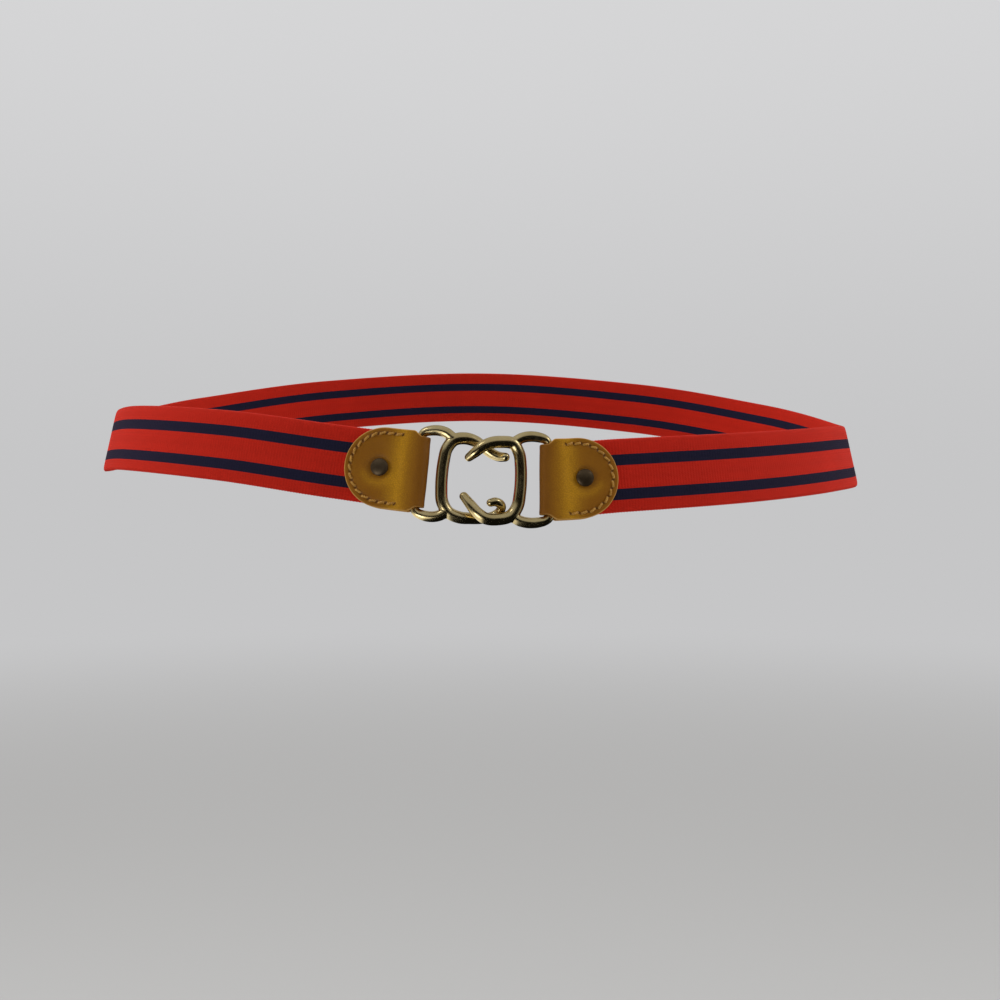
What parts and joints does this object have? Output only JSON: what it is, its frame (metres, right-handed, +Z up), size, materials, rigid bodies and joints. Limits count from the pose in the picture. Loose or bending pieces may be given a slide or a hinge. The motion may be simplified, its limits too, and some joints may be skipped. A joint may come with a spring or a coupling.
{
  "type": "skinny cinch belt",
  "caption": "Closed waist belt of striped elastic webbing with folded leather tabs and an interlocking hook clasp.",
  "frame": {"origin": "middle of the waist opening, level with the middle of the clasp", "axes": "+X to the right of someone who looks at the clasp, +Y from the clasp to the belt's back, +Z up"},
  "size_m": [0.3207, 0.2349, 0.0772],
  "materials": {
    "webbing": "matte woven elastic, red with two navy stripes",
    "leather": "smooth tan leather, semi-gloss, stitched edge",
    "clasp_metal": "polished pale antique gold plate",
    "rivet_metal": "glossy dark bronze plate"
  },
  "bodies": {
    "root": {"webbing": "webbing", "leather_tab_left": "leather", "leather_tab_right": "leather", "rivet_left": "rivet_metal", "rivet_right": "rivet_metal", "clasp_half_left": "clasp_metal", "clasp_half_right": "clasp_metal"}
  },
  "joints": []
}
